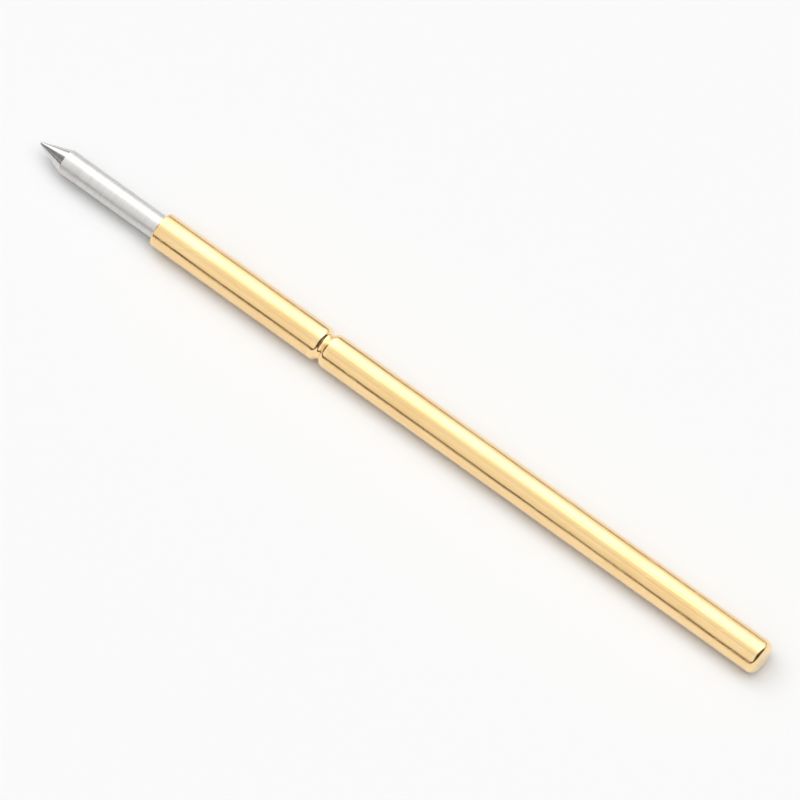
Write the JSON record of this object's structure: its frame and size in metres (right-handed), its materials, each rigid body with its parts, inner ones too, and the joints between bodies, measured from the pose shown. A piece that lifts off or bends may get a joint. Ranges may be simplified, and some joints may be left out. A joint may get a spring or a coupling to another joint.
{
  "type": "pogo pin",
  "caption": "Thin spring-loaded test probe: gold-plated barrel with a rolled crimp and a closed tail, nickel-coloured plunger with a sharp conical tip, hidden coil spring.",
  "frame": {"origin": "centre of the barrel's closed tail face", "axes": "+X along the axis, from the tail to the contact tip; +Y and +Z across it, and the part is round about X"},
  "size_m": [0.0163, 0.0006, 0.0006],
  "materials": {
    "gold_plating": "bright gold plating over a drawn copper-alloy tube, with fine drawing lines",
    "nickel_plating": "bright nickel plating over a turned steel plunger, with fine turning marks",
    "spring_steel": "drawn spring wire"
  },
  "bodies": {
    "barrel": {"barrel": "gold_plating", "spring": "spring_steel"},
    "plunger": {"plunger": "nickel_plating"}
  },
  "joints": [
    {"name": "plunger_slide", "type": "slide", "parent": "barrel", "child": "plunger", "axis": [-1, 0, 0], "range_m": [0, 0.00265], "stiffness_N_per_m": 277, "springref_m": -0.00089, "deforming": ["spring"]}
  ]
}
